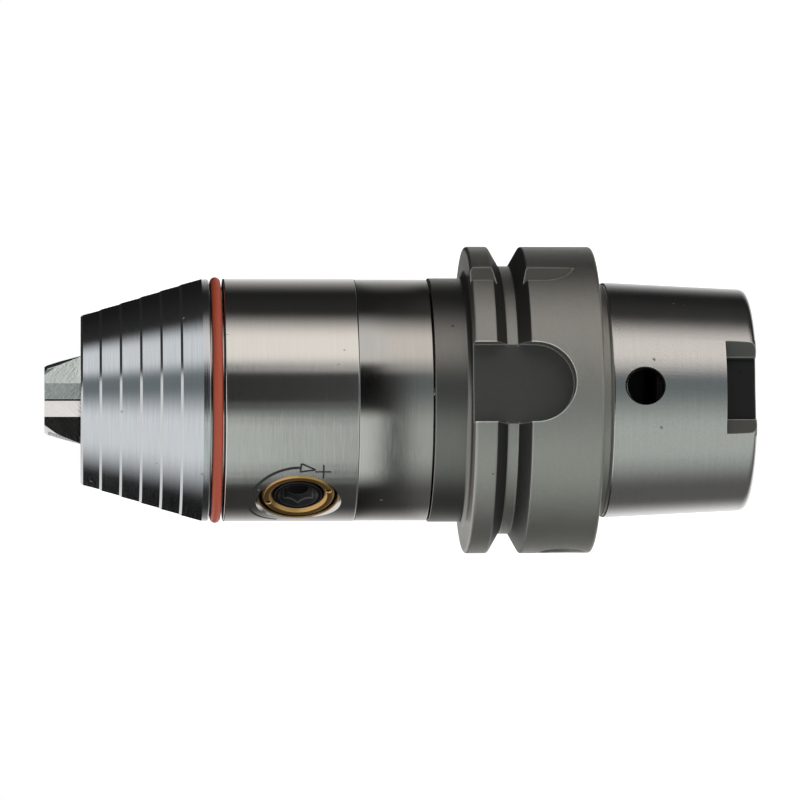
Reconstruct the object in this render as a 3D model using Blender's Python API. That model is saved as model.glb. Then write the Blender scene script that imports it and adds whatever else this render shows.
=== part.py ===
"""Keyed CNC drill chuck with an HSK-A63 shank, 1-13 mm, as separate pieces.

The chuck stands on the end of its shank: +Z runs along its axis towards the
jaws and the origin is the centre of the shank's end face. A hexagon key turns
the bevel pinion, the pinion turns the ring gear, and the ring gear's nut draws
the spindle and the jaw carrier back, so that the three jaws slide apart in
their inclined guides. The jaws are modelled closed.
"""

import math

import bmesh
import bpy
from mathutils import Matrix, Vector

MM = 0.001
FIT = 0.3  # gap between neighbouring pieces
ROUND = 48  # sides of the large turned pieces
SMALL_ROUND = 24

# HSK-A63 shank (heights from the shank's end face)
GAUGE_Z = 32.0
TAPER_RADIUS, TAPER_AT, TAPER_SLOPE = 24.005, 25.7, 1 / 9.98 / 2
TAIL_BORE, TAIL_UNDERCUT, SHOULDER_Z, TAIL_DEPTH = 17.0, 20.0, 18.13, 26.5
TUBE_THREAD_RADIUS, TUBE_THREAD_END = 8.0, 38.0
DRIVE_SLOT, DRIVE_SLOT_DEPTH, DRIVE_SLOT_FLOOR = 12.6, 6.4, 18.0
DRIVE_FLARE, DRIVE_FLARE_START = 3.2, 19.2
ACCESS_HOLE_RADIUS, ACCESS_HOLE_Z = 3.75, 22.9
FLANGE_RADIUS, FLANGE_END, FLANGE_CHAMFER = 31.5, 58.0, 0.6
GROOVE_Z, GROOVE_BOTTOM, GROOVE_FLOOR, GROOVE_MOUTH = 50.0, 27.5, 2.3, 6.9
KEYWAY_NEAR, KEYWAY_FAR, KEYWAY_FLOOR, KEYWAY_END = 16.0, 18.0, 26.5, 37.7
INDEX_ANGLE, INDEX_FLOOR, INDEX_WALL, INDEX_MILL, INDEX_END = 26.0, 28.6, 9.3, 6.3, 42.8
CHIP_RADIUS, CHIP_DEPTH, CHIP_Z = 5.0, 4.6, 38.0

# body
NECK_RADIUS, NECK_END = 25.0, 65.5
BAND_RADIUS, BAND_END = 24.75, 80.7
SLEEVE_RADIUS, SLEEVE_END = 24.875, 107.5
HOUSING_BORE, SPIGOT_END = 21.6, 69.5
SPIGOT_RADIUS = HOUSING_BORE - FIT
SEAL_GROOVE_RADIUS, SEAL_GROOVE_LOW, SEAL_GROOVE_TOP = 19.7, 66.8, 68.6
DOWEL_RADIUS, DOWEL_LOW, DOWEL_TOP = 1.0, 62.5, 68.4
RED_SEAL_RADIUS, RED_SEAL_SECTION = 24.1, 1.06
NOSE_GROOVE_RADIUS, NOSE_OPENING, GUIDE_BORE = 22.7, 11.0, 8.2
NOSE_LAND_Z, NOSE_CONE_Z, NOSE_END = 110.4, 112.1, 136.4
NOSE_RADIUS, NOSE_TIP_RADIUS, NOSE_STEPS, NOSE_STEP = 24.75, 17.15, 6, 0.17
GUIDE_START, GUIDE_END, GUIDE_TIP_RADIUS = 100.4, 133.8, 15.4

# drive
THREAD_RADIUS, SPINDLE_BORE_END = 8.0, 54.0
BALLS, BALL_CIRCLE, BALL_RADIUS = 12, 15.4, 1.2
WASHER, WASHER_FRONT_Z = 1.0, 73.8
CAGE_INNER, CAGE_OUTER, CAGE_LOW, CAGE_TOP = 11.0, 19.8, 71.9, 72.7
GEAR_LOW, RIM_LOW_Z = 75.1, 83.6
GEAR_RIM, GEAR_RIM_TOP, GEAR_SEAT, GEAR_HUB, GEAR_HUB_TOP = 20.9, 83.0, 19.3, 14.9, 87.4
GEAR_TEETH, PINION_TEETH, GEAR_PITCH_RADIUS = 36, 12, 19.5
TOOTH_FACE_START = 15.2
PRESSURE_ANGLE = math.radians(25)
ADDENDUM, DEDENDUM, BACKLASH = 0.72, 0.98, 0.3
KEY_Z, KEY_ANGLE, KEY_FLATS = 92.5, -63.0, 6.0
PORT_RADIUS, PORT_MOUTH = 7.8, 8.5
RING_RADIUS, RING_BORE, RING_FACE = 7.45, 5.2, 23.6

# jaws
GUIDE_ANGLE = math.radians(20)
JAW_ANGLES = (53.0, -67.0, 173.0)
JAW_TIP_Z, JAW_TIP_RADIUS, JAW_HALF_WIDTH, JAW_GAP = 143.8, 7.6, 2.4, 0.2
CARRIER_RADIUS, CARRIER_LOW, CARRIER_TOP = 12.8, 116.0, 124.0
FOOT_INNER, FOOT_OUTER, FOOT_HALF, NECK_HALF = 2.5, 14.5, 3.3, 1.6
FOOT_LOW, FOOT_TOP = 119.5, 121.3
SPINDLE_LOW = 72.0

for item in list(bpy.data.objects):
    bpy.data.objects.remove(item, do_unlink=True)

chuck = bpy.data.objects.new("chuck", None)
bpy.context.collection.objects.link(chuck)


def material(name, color, metallic, roughness):
    made = bpy.data.materials.new(name)
    made.use_nodes = True
    made.diffuse_color = (*color, 1.0)
    shader = made.node_tree.nodes["Principled BSDF"]
    shader.inputs["Base Color"].default_value = (*color, 1.0)
    shader.inputs["Metallic"].default_value = metallic
    shader.inputs["Roughness"].default_value = roughness
    return made


DARK_STEEL = (0.20, 0.19, 0.18), 0.9, 0.42
GROUND_STEEL = (0.47, 0.48, 0.50), 0.95, 0.28
HARD_STEEL = (0.40, 0.40, 0.41), 0.95, 0.35
BLACK_STEEL = (0.04, 0.04, 0.04), 0.8, 0.45
BRASS = (0.62, 0.47, 0.20), 0.95, 0.30
RED_RUBBER = (0.38, 0.06, 0.025), 0.0, 0.55
BLACK_RUBBER = (0.02, 0.02, 0.02), 0.0, 0.7


def direction(angle):
    """Radial direction at an angle in degrees from -Y towards +X."""
    turn = math.radians(angle)
    return Vector((math.sin(turn), -math.cos(turn), 0.0))


def radial_frame(angle):
    """Frame whose X axis is the radial direction and whose Z axis is the chuck's."""
    return Matrix.Rotation(math.radians(angle - 90.0), 4, "Z")


def boring_frame(angle, height):
    """Frame whose Z axis points out of the chuck along a radial direction."""
    return (
        Matrix.Translation((0, 0, height * MM))
        @ radial_frame(angle)
        @ Matrix.Rotation(math.pi / 2, 4, "Y")
    )


def add_object(name, bm, look=None, frame=None):
    """Scale a mesh from millimetres, face it outwards and link it as an object."""
    bmesh.ops.remove_doubles(bm, verts=bm.verts, dist=0.0005)
    bmesh.ops.recalc_face_normals(bm, faces=bm.faces)
    bmesh.ops.scale(bm, vec=(MM, MM, MM), verts=bm.verts)
    mesh = bpy.data.meshes.new(name)
    bm.to_mesh(mesh)
    bm.free()
    made = bpy.data.objects.new(name, mesh)
    bpy.context.collection.objects.link(made)
    if look is None:
        made.hide_render = True
        made.display_type = "WIRE"
    else:
        mesh.materials.append(material(name, *look))
        mesh.shade_smooth()
        mesh.set_sharp_from_angle(angle=math.radians(30))
    made.parent = chuck
    made.matrix_local = frame or Matrix.Identity(4)
    return made


def turned(name, profile, look=None, frame=None, steps=ROUND):
    """Turn an outline of (radius, height) points round the Z axis."""
    bm = bmesh.new()
    points = [bm.verts.new((radius, 0.0, height)) for radius, height in profile]
    edges = [bm.edges.new(pair) for pair in zip(points, points[1:])]
    if min(profile[0][0], profile[-1][0]) > 0:
        edges.append(bm.edges.new((points[-1], points[0])))
    bmesh.ops.spin(
        bm, geom=points + edges, cent=(0, 0, 0), axis=(0, 0, 1),
        angle=2 * math.pi, steps=steps, use_merge=True,
    )
    return add_object(name, bm, look, frame)


def prism(name, outline, low, high, look=None, frame=None):
    """Extrude an outline of (x, y) points from one height to another."""
    bm = bmesh.new()
    base = bm.faces.new([bm.verts.new((x, y, low)) for x, y in outline])
    top = bmesh.ops.extrude_face_region(bm, geom=[base])["geom"]
    lifted = [item for item in top if isinstance(item, bmesh.types.BMVert)]
    bmesh.ops.translate(bm, vec=(0, 0, high - low), verts=lifted)
    return add_object(name, bm, look, frame)


def circle(radius, sides, centre=(0.0, 0.0), start=0.0, sweep=360.0):
    """Points on a circle; a full circle leaves out the repeated last point."""
    count = sides if sweep >= 360.0 else sides + 1
    return [
        (
            centre[0] + radius * math.cos(math.radians(start + sweep * i / sides)),
            centre[1] + radius * math.sin(math.radians(start + sweep * i / sides)),
        )
        for i in range(count)
    ]


def join(target, tool, operation="DIFFERENCE"):
    modifier = target.modifiers.new(tool.name, "BOOLEAN")
    modifier.operation = operation
    modifier.solver = "EXACT"
    modifier.object = tool


def ring_seal(name, centre_radius, height, section_radius, look):
    section = circle(section_radius, 8, (centre_radius, height), 22.5)
    return turned(name, section, look, steps=36)


# ---- shank body: HSK tail, flange and neck in one piece -------------------------------
def taper(height):
    return TAPER_RADIUS + (height - TAPER_AT) * TAPER_SLOPE


groove_top, groove_low = GROOVE_MOUTH / 2, GROOVE_FLOOR / 2
shoulder_rise = (TAIL_UNDERCUT - TAIL_BORE) * math.tan(math.radians(30))
shank = turned("shank_body", [
    (0, TUBE_THREAD_END), (TUBE_THREAD_RADIUS, TUBE_THREAD_END),
    (TUBE_THREAD_RADIUS, TAIL_DEPTH), (TAIL_UNDERCUT - 2, TAIL_DEPTH),
    (TAIL_UNDERCUT, TAIL_DEPTH - 2), (TAIL_UNDERCUT, SHOULDER_Z),
    (TAIL_BORE, SHOULDER_Z - shoulder_rise), (TAIL_BORE, 0.8), (TAIL_BORE + 0.8, 0),
    (taper(0) - 1.6, 0), (taper(0) - 0.45, 0.5), (taper(1.8), 1.8),
    (taper(29.6), 29.6), (taper(29.6) - 0.4, 30.0), (taper(29.6) - 0.4, GAUGE_Z),
    (FLANGE_RADIUS - FLANGE_CHAMFER, GAUGE_Z), (FLANGE_RADIUS, GAUGE_Z + FLANGE_CHAMFER),
    (FLANGE_RADIUS, GROOVE_Z - groove_top), (GROOVE_BOTTOM, GROOVE_Z - groove_low),
    (GROOVE_BOTTOM, GROOVE_Z + groove_low), (FLANGE_RADIUS, GROOVE_Z + groove_top),
    (FLANGE_RADIUS, FLANGE_END - FLANGE_CHAMFER), (FLANGE_RADIUS - FLANGE_CHAMFER, FLANGE_END),
    (NECK_RADIUS + 0.5, FLANGE_END), (NECK_RADIUS, FLANGE_END + 0.5),
    (NECK_RADIUS, NECK_END), (SPIGOT_RADIUS, NECK_END),
    (SPIGOT_RADIUS, SEAL_GROOVE_LOW), (SEAL_GROOVE_RADIUS, SEAL_GROOVE_LOW),
    (SEAL_GROOVE_RADIUS, SEAL_GROOVE_TOP), (SPIGOT_RADIUS, SEAL_GROOVE_TOP),
    (SPIGOT_RADIUS, SPIGOT_END), (THREAD_RADIUS + 0.5, SPIGOT_END),
    (THREAD_RADIUS + 0.5, SPINDLE_BORE_END), (0, SPINDLE_BORE_END),
], DARK_STEEL)

slot_half, slot_flare = DRIVE_SLOT / 2, DRIVE_SLOT / 2 + DRIVE_FLARE
flare_end, past_wall, past_flange = taper(0) * 0.92, taper(0) + 4, FLANGE_RADIUS + 4
for name, side in (("near", -1), ("far", 1)):
    join(shank, prism(f"drive_slot_{name}", [
        (slot_half, side * DRIVE_SLOT_FLOOR), (slot_half, side * DRIVE_FLARE_START),
        (slot_flare, side * flare_end), (slot_flare, side * past_wall), (-slot_flare, side * past_wall),
        (-slot_flare, side * flare_end), (-slot_half, side * DRIVE_FLARE_START),
        (-slot_half, side * DRIVE_SLOT_FLOOR),
    ], -1, DRIVE_SLOT_DEPTH))

for name, width, angle in (("near", KEYWAY_NEAR, 0.0), ("far", KEYWAY_FAR, 180.0)):
    half = width / 2
    outline = [(x, z + KEYWAY_END + half) for x, z in circle(half, 10, start=180, sweep=180)]
    outline += [(half, FLANGE_END + 1), (-half, FLANGE_END + 1)]
    turn = Matrix.Rotation(math.radians(angle), 4, "Z") @ Matrix.Rotation(math.pi / 2, 4, "X")
    join(shank, prism(f"keyway_{name}", outline, KEYWAY_FLOOR, past_flange, frame=turn))

mill = INDEX_WALL + INDEX_MILL
outline = [(x + mill, z + INDEX_END) for x, z in circle(INDEX_MILL, 8, start=180, sweep=180)]
outline += [(mill + INDEX_MILL, FLANGE_END + 1), (INDEX_WALL, FLANGE_END + 1)]
turn = Matrix.Rotation(math.radians(INDEX_ANGLE), 4, "Z") @ Matrix.Rotation(math.pi / 2, 4, "X")
join(shank, prism("index_flat", outline, INDEX_FLOOR, past_flange, frame=turn))

join(shank, turned(
    "chip_pocket",
    [(0, FLANGE_RADIUS - CHIP_DEPTH), (CHIP_RADIUS, FLANGE_RADIUS - CHIP_DEPTH),
     (CHIP_RADIUS, past_flange), (0, past_flange)],
    frame=boring_frame(-90, CHIP_Z), steps=SMALL_ROUND,
))
join(shank, turned(
    "access_hole",
    [(0, 10), (ACCESS_HOLE_RADIUS, 10), (ACCESS_HOLE_RADIUS, 30), (0, 30)],
    frame=boring_frame(0, ACCESS_HOLE_Z), steps=16,
))

# ---- gear housing: marked band and ground sleeve ---------------------------------------
housing = turned("gear_housing", [
    (HOUSING_BORE, NECK_END + FIT), (BAND_RADIUS - 0.2, NECK_END + FIT),
    (BAND_RADIUS, NECK_END + FIT + 0.2), (BAND_RADIUS, BAND_END),
    (SLEEVE_RADIUS, BAND_END + 0.2), (SLEEVE_RADIUS, SLEEVE_END - 0.3),
    (SLEEVE_RADIUS - 0.3, SLEEVE_END), (HOUSING_BORE, SLEEVE_END),
], GROUND_STEEL)
join(housing, turned(
    "key_port",
    [(0, 19), (PORT_RADIUS, 19), (PORT_RADIUS, 23.9), (PORT_MOUTH + 0.7, 26), (0, 26)],
    frame=boring_frame(KEY_ANGLE, KEY_Z), steps=SMALL_ROUND,
))

# ---- three dowels lock the housing against turning on the shank body -------------------
for index in range(3):
    spot = direction(KEY_ANGLE + 60 + 120 * index) * ((HOUSING_BORE + BAND_RADIUS) / 2)
    place = Matrix.Translation((spot.x * MM, spot.y * MM, 0))
    pin = [(0, DOWEL_LOW), (DOWEL_RADIUS, DOWEL_LOW), (DOWEL_RADIUS, DOWEL_TOP), (0, DOWEL_TOP)]
    hole = [(0, DOWEL_LOW - FIT), (DOWEL_RADIUS + FIT, DOWEL_LOW - FIT),
            (DOWEL_RADIUS + FIT, DOWEL_TOP + FIT), (0, DOWEL_TOP + FIT)]
    turned(f"torque_pin_{index + 1}", pin, HARD_STEEL, place, steps=10)
    drill = turned(f"torque_pin_hole_{index + 1}", hole, frame=place, steps=10)
    join(shank, drill)
    join(housing, drill)

# ---- seals ------------------------------------------------------------------------------
seal_radius = (SEAL_GROOVE_TOP - SEAL_GROOVE_LOW) / 2 - FIT
ring_seal("housing_seal_ring", SEAL_GROOVE_RADIUS + FIT + seal_radius,
          (SEAL_GROOVE_TOP + SEAL_GROOVE_LOW) / 2, seal_radius, BLACK_RUBBER)
ring_seal("red_seal_ring", RED_SEAL_RADIUS, NOSE_LAND_Z - FIT - RED_SEAL_SECTION, RED_SEAL_SECTION,
          RED_RUBBER)

# ---- nose cone ----------------------------------------------------------------------------
cone = []
pitch = (NOSE_END - 0.3 - NOSE_CONE_Z) / NOSE_STEPS
fall = (NOSE_RADIUS - NOSE_TIP_RADIUS - NOSE_STEP * (NOSE_STEPS - 1)) / NOSE_STEPS
for index in range(NOSE_STEPS):
    low = NOSE_CONE_Z + pitch * index
    radius = NOSE_RADIUS - (fall + NOSE_STEP) * index
    cone += [(radius, low), (radius - fall, low + pitch)]
turned("nose_cone", [
    (HOUSING_BORE, SLEEVE_END + FIT), (NOSE_GROOVE_RADIUS, SLEEVE_END + FIT),
    (NOSE_GROOVE_RADIUS, NOSE_LAND_Z), (NOSE_RADIUS, NOSE_LAND_Z),
] + cone + [
    (NOSE_TIP_RADIUS - 0.3, NOSE_END), (NOSE_OPENING, NOSE_END),
    (NOSE_OPENING + 1.0, GUIDE_END + FIT), (GUIDE_TIP_RADIUS + FIT, GUIDE_END + FIT),
    (HOUSING_BORE, NOSE_CONE_Z),
], GROUND_STEEL)

# ---- jaw guide with its three inclined channels --------------------------------------------
slope = math.tan(GUIDE_ANGLE)


def jaw_back(height):
    """Radius of a closed jaw's outer line at a height."""
    return JAW_TIP_RADIUS + (JAW_TIP_Z - height) * slope


guide = turned("jaw_guide", [
    (CARRIER_RADIUS + FIT, GUIDE_START), (HOUSING_BORE - FIT, GUIDE_START),
    (HOUSING_BORE - FIT, NOSE_CONE_Z - FIT), (GUIDE_TIP_RADIUS, GUIDE_END),
    (GUIDE_BORE, GUIDE_END), (GUIDE_BORE, CARRIER_TOP + 1.3),
    (CARRIER_RADIUS + FIT, CARRIER_TOP + 1.3),
], HARD_STEEL)
upright = Matrix.Rotation(math.pi / 2, 4, "X")
for index, angle in enumerate(JAW_ANGLES):
    frame = radial_frame(angle) @ upright
    low, top = GUIDE_START - 2, GUIDE_END + 2
    half = JAW_HALF_WIDTH + FIT
    join(guide, prism(f"blade_channel_{index + 1}", [
        (4, low), (jaw_back(low) + FIT, low), (jaw_back(top) + FIT, top), (4, top),
    ], -half, half, frame=frame))
    half, reach, top = FOOT_HALF + FIT, FOOT_OUTER + FIT, FOOT_TOP + FIT
    join(guide, prism(f"foot_channel_{index + 1}", [
        (9, low), (reach + (top - low) * slope, low), (reach, top), (9, top),
    ], -half, half, frame=frame))

# ---- thrust bearing behind the ring gear ------------------------------------------------------
washer_inner, washer_outer = THREAD_RADIUS + 1.5, HOUSING_BORE - 1.0
for name, low in (("thrust_washer_rear", SPIGOT_END + FIT), ("thrust_washer_front", WASHER_FRONT_Z)):
    turned(name, [(washer_inner, low), (washer_outer, low), (washer_outer, low + WASHER),
                  (washer_inner, low + WASHER)], HARD_STEEL, steps=36)
cage = turned("ball_cage", [(CAGE_INNER, CAGE_LOW), (CAGE_OUTER, CAGE_LOW), (CAGE_OUTER, CAGE_TOP),
                            (CAGE_INNER, CAGE_TOP)], BRASS, steps=36)
for index in range(BALLS):
    spot = direction(360 / BALLS * index) * BALL_CIRCLE
    bm = bmesh.new()
    bmesh.ops.create_uvsphere(bm, u_segments=8, v_segments=5, radius=BALL_RADIUS)
    bmesh.ops.translate(bm, vec=(spot.x, spot.y, (CAGE_LOW + CAGE_TOP) / 2), verts=bm.verts)
    join(cage, add_object(f"ball_{index + 1}", bm), "UNION")


# ---- bevel gears -------------------------------------------------------------------------------
def toothed_loop(teeth, pitch_angle, pitch_radius, scale, phase):
    """Outline of a straight bevel gear on its back cone, as (radius, turn, lift) points.

    The profile is the involute of the equivalent spur gear. The lift is measured
    along the gear's own axis from the pitch cone's apex towards the gear.
    """
    module = 2 * pitch_radius / teeth
    cone_radius = pitch_radius / math.cos(pitch_angle)
    base = cone_radius * math.cos(PRESSURE_ANGLE)
    half_tooth = (math.pi * module / 2 - BACKLASH) / 2 / cone_radius
    involute_at_pitch = math.tan(PRESSURE_ANGLE) - PRESSURE_ANGLE
    heights = [-DEDENDUM, -0.45, 0.1, ADDENDUM]
    flank = []
    for height in heights:
        reach = cone_radius + height * module
        roll = math.acos(min(1.0, base / max(reach, base)))
        half = half_tooth + involute_at_pitch - (math.tan(roll) - roll)
        flank.append((height * module, half / math.cos(pitch_angle)))
    points = []
    for tooth in range(teeth):
        middle = phase + 2 * math.pi * tooth / teeth
        for height, half in flank:
            points.append((height, middle - half))
        for height, half in reversed(flank):
            points.append((height, middle + half))
    apex_distance = pitch_radius / math.tan(pitch_angle)
    return [
        (
            scale * (pitch_radius + height * math.cos(pitch_angle)),
            turn,
            scale * (apex_distance - height * math.sin(pitch_angle)),
        )
        for height, turn in points
    ]


def ring_of_vertices(bm, loop, lift=None):
    return [
        bm.verts.new((radius * math.cos(turn), radius * math.sin(turn),
                      own_lift if lift is None else lift))
        for radius, turn, own_lift in loop
    ]


def bridge(bm, first, second):
    for index in range(len(first)):
        after = (index + 1) % len(first)
        bm.faces.new((first[index], first[after], second[after], second[index]))


pinion_pitch_radius = GEAR_PITCH_RADIUS * PINION_TEETH / GEAR_TEETH
pinion_cone = math.atan(PINION_TEETH / GEAR_TEETH)
gear_cone = math.pi / 2 - pinion_cone
face_scale = TOOTH_FACE_START / GEAR_PITCH_RADIUS
key_turn = math.radians(KEY_ANGLE - 90)

# The ring gear's own axis is taken upside down here: its lift counts down from the apex.
bm = bmesh.new()
phase = -key_turn + math.pi / GEAR_TEETH
outer = toothed_loop(GEAR_TEETH, gear_cone, GEAR_PITCH_RADIUS, 1.0, phase)
inner = toothed_loop(GEAR_TEETH, gear_cone, GEAR_PITCH_RADIUS, face_scale, phase)
rim_low = KEY_Z - RIM_LOW_Z
loops = [ring_of_vertices(bm, outer), ring_of_vertices(bm, inner),
         ring_of_vertices(bm, inner, rim_low), ring_of_vertices(bm, outer, rim_low)]
for first, second in zip(loops, loops[1:] + loops[:1]):
    bridge(bm, first, second)
crown = add_object("gear_crown", bm, frame=Matrix.Translation((0, 0, KEY_Z * MM))
                   @ Matrix.Rotation(math.pi, 4, "X"))
gear_bore = THREAD_RADIUS + FIT
ring_gear = turned("ring_gear", [
    (gear_bore, GEAR_LOW), (GEAR_RIM, GEAR_LOW), (GEAR_RIM, GEAR_RIM_TOP),
    (GEAR_SEAT, GEAR_RIM_TOP), (GEAR_SEAT, GEAR_RIM_TOP + 1.0), (GEAR_HUB, GEAR_RIM_TOP + 1.0),
    (GEAR_HUB, GEAR_HUB_TOP - 1.2), (GEAR_HUB - 1.5, GEAR_HUB_TOP), (gear_bore, GEAR_HUB_TOP),
], HARD_STEEL)
join(ring_gear, crown, "UNION")
ring_inner, ring_outer = GEAR_RIM - 0.6, HOUSING_BORE - FIT
ring_low = GEAR_RIM_TOP + FIT
turned("gear_retaining_ring", [
    (ring_inner, ring_low), (ring_outer, ring_low), (ring_outer, ring_low + 1.0),
    (ring_inner, ring_low + 1.0),
], BLACK_STEEL, steps=36)

# The pinion's own axis points out of the key port, so its frame puts the apex at the origin.
bm = bmesh.new()
outer = toothed_loop(PINION_TEETH, pinion_cone, pinion_pitch_radius, 1.0, 0.0)
inner = toothed_loop(PINION_TEETH, pinion_cone, pinion_pitch_radius, face_scale, 0.0)
rings = ring_of_vertices(bm, outer), ring_of_vertices(bm, inner)
bridge(bm, *rings)
for ring in rings:
    middle = bm.verts.new((0, 0, sum(vert.co.z for vert in ring) / len(ring)))
    for index, vert in enumerate(ring):
        bm.faces.new((vert, ring[(index + 1) % len(ring)], middle))
pinion_frame = boring_frame(KEY_ANGLE, KEY_Z)
teeth = add_object("pinion_teeth", bm, frame=pinion_frame)
pinion = turned("key_pinion", [
    (0, 16.0), (3.6, 16.0), (4.4, 20.1), (6.05, 20.1), (6.05, 22.1), (RING_BORE - FIT, 22.1),
    (RING_BORE - FIT, 23.1), (RING_BORE - FIT - 0.3, 23.4), (0, 23.4),
], BLACK_STEEL, pinion_frame, steps=SMALL_ROUND)
join(pinion, teeth, "UNION")
hexagon = circle(KEY_FLATS / 2 / math.cos(math.pi / 6), 6, start=30)
join(pinion, prism("key_hexagon", hexagon, 17.6, 24.0, frame=pinion_frame))
turned("pinion_bush", [
    (6.05 + FIT, 20.3), (RING_RADIUS, 20.3), (RING_RADIUS, 22.1), (6.05 + FIT, 22.1),
], BRASS, pinion_frame, steps=SMALL_ROUND)
turned("pinion_retaining_ring", [
    (RING_BORE, 22.4), (RING_RADIUS, 22.4), (RING_RADIUS, RING_FACE - 0.3),
    (RING_RADIUS - 0.3, RING_FACE), (RING_BORE + 0.5, RING_FACE), (RING_BORE, RING_FACE - 0.5),
], BRASS, pinion_frame, steps=SMALL_ROUND)

# ---- spindle and jaw carrier --------------------------------------------------------------------
socket_top = CARRIER_LOW + 2.9
spigot_radius, pin_radius, pin_z = 5.0, 1.0, CARRIER_LOW + 1.6
carrier = turned("jaw_carrier", [
    (0, socket_top), (spigot_radius + FIT, socket_top), (spigot_radius + FIT, CARRIER_LOW),
    (CARRIER_RADIUS, CARRIER_LOW), (CARRIER_RADIUS, CARRIER_TOP), (0, CARRIER_TOP),
], HARD_STEEL)
for index, angle in enumerate(JAW_ANGLES):
    slot = [(-FOOT_HALF - FIT, FOOT_LOW - FIT), (FOOT_HALF + FIT, FOOT_LOW - FIT),
            (FOOT_HALF + FIT, FOOT_TOP + FIT), (NECK_HALF + FIT, FOOT_TOP + FIT),
            (NECK_HALF + FIT, CARRIER_TOP + 1), (-NECK_HALF - FIT, CARRIER_TOP + 1),
            (-NECK_HALF - FIT, FOOT_TOP + FIT), (-FOOT_HALF - FIT, FOOT_TOP + FIT)]
    frame = radial_frame(angle + 90) @ upright
    join(carrier, prism(f"t_slot_{index + 1}", slot, FOOT_INNER - FIT, CARRIER_RADIUS + 1.2, frame=frame))
spindle = turned("clamping_spindle", [
    (0, SPINDLE_LOW), (THREAD_RADIUS - 0.8, SPINDLE_LOW), (THREAD_RADIUS, SPINDLE_LOW + 0.8),
    (THREAD_RADIUS, CARRIER_LOW - FIT), (spigot_radius, CARRIER_LOW - FIT),
    (spigot_radius, socket_top - FIT), (0, socket_top - FIT),
], HARD_STEEL, steps=SMALL_ROUND)
pin_frame = boring_frame(JAW_ANGLES[0] + 60, pin_z)
pin_reach, pin_drill = CARRIER_RADIUS - 0.8, CARRIER_RADIUS + 1.2
turned("carrier_pin", [(0, -pin_reach), (pin_radius, -pin_reach), (pin_radius, pin_reach),
                       (0, pin_reach)], HARD_STEEL, pin_frame, steps=10)
pin_hole = turned("carrier_pin_hole", [
    (0, -pin_drill), (pin_radius + FIT, -pin_drill), (pin_radius + FIT, pin_drill),
    (0, pin_drill),
], frame=pin_frame, steps=10)
join(carrier, pin_hole)
join(spindle, pin_hole)


# ---- jaws -------------------------------------------------------------------------------------------
def plane_off(bm, point, normal):
    """Cut away what lies beyond a plane and close the cut."""
    parts = bm.verts[:] + bm.edges[:] + bm.faces[:]
    cut = bmesh.ops.bisect_plane(bm, geom=parts, plane_co=point, plane_no=normal,
                                 clear_outer=True)["geom_cut"]
    rim = [item for item in cut if isinstance(item, bmesh.types.BMEdge)]
    bmesh.ops.holes_fill(bm, edges=rim)


blade_low = CARRIER_TOP + FIT
meeting = JAW_HALF_WIDTH / math.tan(math.radians(60))
side = [(meeting + JAW_GAP, JAW_HALF_WIDTH), (18.0, JAW_HALF_WIDTH)]
section = [(JAW_GAP, 0.0)] + [(x, -y) for x, y in side] + side[::-1]
back_normal = Vector((math.cos(GUIDE_ANGLE), 0, math.sin(GUIDE_ANGLE)))
back_round = 2.4
back_centre = Vector((JAW_TIP_RADIUS, 0, JAW_TIP_Z)) - back_normal * back_round
for index, angle in enumerate(JAW_ANGLES):
    bm = bmesh.new()
    base = bm.faces.new([bm.verts.new((x, y, blade_low)) for x, y in section])
    top = bmesh.ops.extrude_face_region(bm, geom=[base])["geom"]
    lifted = [item for item in top if isinstance(item, bmesh.types.BMVert)]
    bmesh.ops.translate(bm, vec=(0, 0, JAW_TIP_Z - blade_low), verts=lifted)
    for lean in (0, 22, -22, 44, -44):
        turn = math.radians(lean)
        normal = back_normal * math.cos(turn) + Vector((0, math.sin(turn), 0))
        plane_off(bm, back_centre + normal * back_round, normal)
    plane_off(bm, Vector((JAW_TIP_RADIUS - 0.6, 0, JAW_TIP_Z)), Vector((1, 0, 1)))
    jaw = add_object(f"jaw_{index + 1}", bm, HARD_STEEL, radial_frame(angle))
    foot = [(-FOOT_HALF, FOOT_LOW), (FOOT_HALF, FOOT_LOW), (FOOT_HALF, FOOT_TOP),
            (NECK_HALF, FOOT_TOP), (NECK_HALF, blade_low + 0.5), (-NECK_HALF, blade_low + 0.5),
            (-NECK_HALF, FOOT_TOP), (-FOOT_HALF, FOOT_TOP)]
    join(jaw, prism(f"foot_{index + 1}", foot, FOOT_INNER, FOOT_OUTER,
                    frame=radial_frame(angle + 90) @ upright), "UNION")
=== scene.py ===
import math

import bmesh
import bpy
from mathutils import Matrix, Vector


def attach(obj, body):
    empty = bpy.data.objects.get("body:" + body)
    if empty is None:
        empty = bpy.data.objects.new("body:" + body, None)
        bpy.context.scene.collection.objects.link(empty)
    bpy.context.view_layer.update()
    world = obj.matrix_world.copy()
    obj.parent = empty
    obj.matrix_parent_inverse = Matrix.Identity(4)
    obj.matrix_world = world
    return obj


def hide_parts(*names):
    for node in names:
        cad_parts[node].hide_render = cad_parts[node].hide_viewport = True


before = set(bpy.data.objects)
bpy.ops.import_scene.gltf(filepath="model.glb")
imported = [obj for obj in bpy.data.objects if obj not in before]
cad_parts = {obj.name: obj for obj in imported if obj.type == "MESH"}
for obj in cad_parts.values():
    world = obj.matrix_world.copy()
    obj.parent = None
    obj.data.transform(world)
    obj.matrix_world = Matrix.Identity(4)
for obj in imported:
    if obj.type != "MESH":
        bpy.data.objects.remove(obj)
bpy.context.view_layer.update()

# ---- Studio ---------------------------------------------------------------------------
# The chuck stands on the end of its shank on a pale table. The camera lies on its side,
# level with the nose and a little to the left of the 16 mm keyway.
scene = bpy.context.scene
scene.view_settings.view_transform = "Standard"
VIEW_TURN = math.radians(7)
EYE_DISTANCE, EYE_HEIGHT, AIM_HEIGHT = 1.015, 0.138, 0.071
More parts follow.
